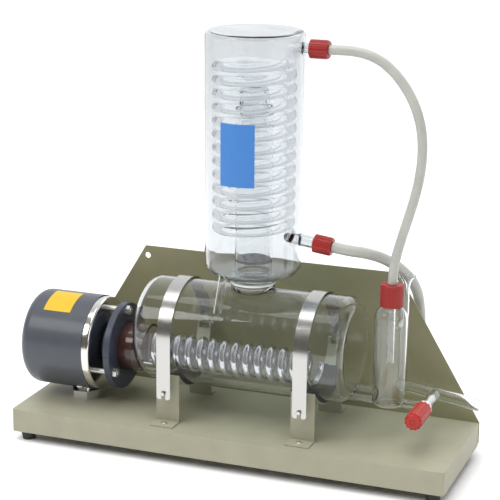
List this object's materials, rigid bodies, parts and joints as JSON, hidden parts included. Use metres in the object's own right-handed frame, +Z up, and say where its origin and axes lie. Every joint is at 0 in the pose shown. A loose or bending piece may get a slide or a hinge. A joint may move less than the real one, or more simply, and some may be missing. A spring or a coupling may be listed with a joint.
{
  "type": "laboratory water still with coil condenser",
  "caption": "Glass water still on a sheet-metal stand: strapped boiler with immersion heater, upright coil condenser, level bottle with overflow, stopcock and hoses.",
  "frame": {"origin": "on the floor under the middle of the base tray, at the underside of the four feet", "axes": "+X along the base from the heater to the level bottle, +Y from the front to the back panel, +Z up along the condenser"},
  "size_m": [0.5103, 0.3335, 0.469],
  "materials": {
    "painted_stand": "fine textured greige powder coat",
    "black_rubber": "matt black rubber",
    "zinc_screws": "zinc plated steel",
    "chromed_fittings": "bright chrome",
    "satin_steel": "satin stainless band",
    "polished_steel": "polished stainless steel",
    "glass": "clear borosilicate glass, fire polished",
    "heater_chrome": "bright chromed tube",
    "red_silicone": "red-brown silicone rubber",
    "flange_plastic": "dark blue-grey moulded plastic",
    "cover_plastic": "blue-grey moulded plastic, fine grain",
    "white_ceramic": "glazed steatite",
    "terminal_brass": "turned brass",
    "cutout_metal": "pressed metal can",
    "yellow_label": "plain yellow sticker",
    "blue_label": "plain blue sticker",
    "white_gasket": "white silicone seal",
    "white_ptfe": "white PTFE",
    "dark_ptfe": "dark filled PTFE",
    "red_cap": "red moulded plastic",
    "red_knob": "red moulded plastic",
    "silicone_hose": "milky translucent silicone"
  },
  "bodies": {
    "stand": {"base_tray": "painted_stand", "back_panel": "painted_stand", "cradle_left": "painted_stand", "cradle_right": "painted_stand", "rubber_feet": "black_rubber", "cradle_pad_left": "black_rubber", "cradle_pad_right": "black_rubber", "mains_grommet": "black_rubber", "feet_screws": "zinc_screws", "panel_screws": "zinc_screws", "cradle_screws": "zinc_screws", "clamp_bolts": "zinc_screws", "strap_hinge_pins": "zinc_screws", "strap_hooks": "zinc_screws", "cover_screw": "chromed_fittings", "cover_fitting": "chromed_fittings", "cover_fitting_nut": "chromed_fittings", "head_dish": "polished_steel", "boiler_vessel": "glass", "condenser_jacket": "glass", "distillate_spout": "glass", "vapour_riser": "glass", "splash_hood": "glass", "cooling_coil": "glass", "level_bottle": "glass", "dip_tube": "glass", "overflow_drain": "glass", "stopcock_barrel": "glass", "heater_coil": "heater_chrome", "neck_stopper": "red_silicone", "clamp_flange": "flange_plastic", "heater_boss": "flange_plastic", "terminal_cover": "cover_plastic", "terminal_block": "white_ceramic", "terminal_screws": "terminal_brass", "tap_connector": "terminal_brass", "thermal_cutout": "cutout_metal", "cover_label": "yellow_label", "jacket_label": "blue_label", "joint_gasket": "white_gasket", "arm_seals": "white_gasket", "bottle_cap_seal": "white_gasket", "stopcock_collar": "white_ptfe", "upper_hose_nozzle": "white_ptfe", "lower_hose_nozzle": "white_ptfe", "splash_baffle": "dark_ptfe", "outlet_hose": "silicone_hose", "inlet_hose": "silicone_hose", "inlet_hose_coil": "silicone_hose"},
    "strap_left": {"strap_left": "satin_steel"},
    "strap_right": {"strap_right": "satin_steel"},
    "upper_arm_cap": {"upper_arm_cap": "red_cap"},
    "lower_arm_cap": {"lower_arm_cap": "red_cap"},
    "bottle_cap": {"bottle_cap": "red_cap"},
    "stopcock_knob": {"stopcock_knob": "red_knob"},
    "stopcock_spindle": {"stopcock_spindle": "white_ptfe"}
  },
  "joints": [
    {"name": "strap_left_hinge", "type": "hinge", "parent": "stand", "child": "strap_left", "pos_m": [-0.0715, 0.066, 0.118], "axis": [-1, 0, 0], "range_deg": [0, 25]},
    {"name": "strap_right_hinge", "type": "hinge", "parent": "stand", "child": "strap_right", "pos_m": [0.0855, 0.066, 0.118], "axis": [-1, 0, 0], "range_deg": [0, 25]},
    {"name": "upper_cap_turn", "type": "hinge", "parent": "stand", "child": "upper_arm_cap", "pos_m": [0.082, 0, 0.453], "axis": [1, 0, 0], "range_deg": [0, 360]},
    {"name": "lower_cap_turn", "type": "hinge", "parent": "stand", "child": "lower_arm_cap", "pos_m": [0.08806, 0, 0.24395], "axis": [0.9925, 0, -0.1219], "range_deg": [0, 360]},
    {"name": "bottle_cap_turn", "type": "hinge", "parent": "stand", "child": "bottle_cap", "pos_m": [0.167, 0, 0.197], "axis": [0, 0, 1], "range_deg": [0, 360]},
    {"name": "stopcock_turn", "type": "hinge", "parent": "stand", "child": "stopcock_knob", "pos_m": [0.2075, -0.02, 0.0768], "axis": [0, -1, 0], "range_deg": [0, 360]},
    {"name": "spindle_lift", "type": "slide", "parent": "stand", "child": "stopcock_spindle", "axis": [0, -1, 0], "range_m": [0, 0.002]}
  ],
  "couplings": [
    {"joint": "spindle_lift", "follows": "stopcock_turn", "m_per_rad": 0.00031828}
  ]
}
